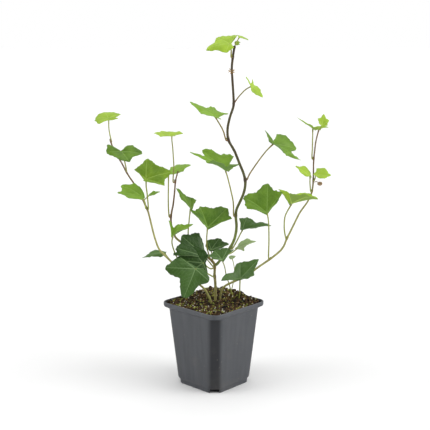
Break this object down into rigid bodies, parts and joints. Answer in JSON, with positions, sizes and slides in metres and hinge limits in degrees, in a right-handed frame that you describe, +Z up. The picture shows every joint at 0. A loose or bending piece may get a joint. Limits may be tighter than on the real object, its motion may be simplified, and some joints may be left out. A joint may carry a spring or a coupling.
{
  "type": "potted ivy",
  "caption": "Young ivy with upright shoots of lobed leaves, growing in a small square plastic nursery pot of dark soil.",
  "frame": {"origin": "centre of the pot's flat underside, on the surface that it stands on", "axes": "+Z up; X and Y along the sides of the square pot; the plant's spread runs from -X -Y to +X +Y"},
  "size_m": [0.1734, 0.2282, 0.4106],
  "materials": {
    "pot_plastic": "matt grey moulded polypropylene",
    "soil": "damp peat-based potting soil, matt, with light flecks",
    "stem_bark": "thin young bark, brown to olive green",
    "leaf_young": "soft bright yellow-green, satin",
    "leaf_mature": "mid green with paler veins, satin and waxy",
    "leaf_dark": "dark glossy green with pale veins",
    "leaf_pale": "pale grey-green, satin",
    "dry_bud": "dry brown, matt"
  },
  "bodies": {
    "root": {"pot": "pot_plastic", "potting_soil": "soil", "shoot_centre": "stem_bark", "shoot_left_inner": "stem_bark", "shoot_left_outer": "stem_bark", "shoot_right": "stem_bark", "leaf_top": "leaf_young", "leaf_tip_bud": "leaf_young", "leaf_tip_small": "leaf_young", "leaf_upper_right": "leaf_young", "leaf_upper_left": "leaf_mature", "leaf_right_fold": "leaf_mature", "leaf_centre_fold": "leaf_mature", "leaf_dark_right": "leaf_dark", "leaf_pale_right": "leaf_pale", "leaf_flat_top": "leaf_young", "leaf_inner_edge": "leaf_mature", "leaf_mid_small": "leaf_mature", "leaf_mid_wide": "leaf_mature", "leaf_dark_top": "leaf_dark", "leaf_dark_middle": "leaf_dark", "leaf_dark_front": "leaf_dark", "leaf_far_left_top": "leaf_young", "leaf_far_left": "leaf_mature", "leaf_left_star": "leaf_young", "leaf_left_tiny": "leaf_mature", "leaf_left_low": "leaf_mature", "leaf_cup": "leaf_mature", "leaf_left_blade": "leaf_dark", "leaf_right_tip": "leaf_young", "leaf_right_top": "leaf_young", "leaf_right_pair_left": "leaf_young", "leaf_right_pair_right": "leaf_young", "leaf_right_boat": "leaf_young", "leaf_right_big": "leaf_mature", "leaf_low_right": "leaf_dark", "leaf_gloss": "leaf_dark", "leaf_pale_tiny": "leaf_pale", "withered_bud": "dry_bud"}
  },
  "joints": []
}
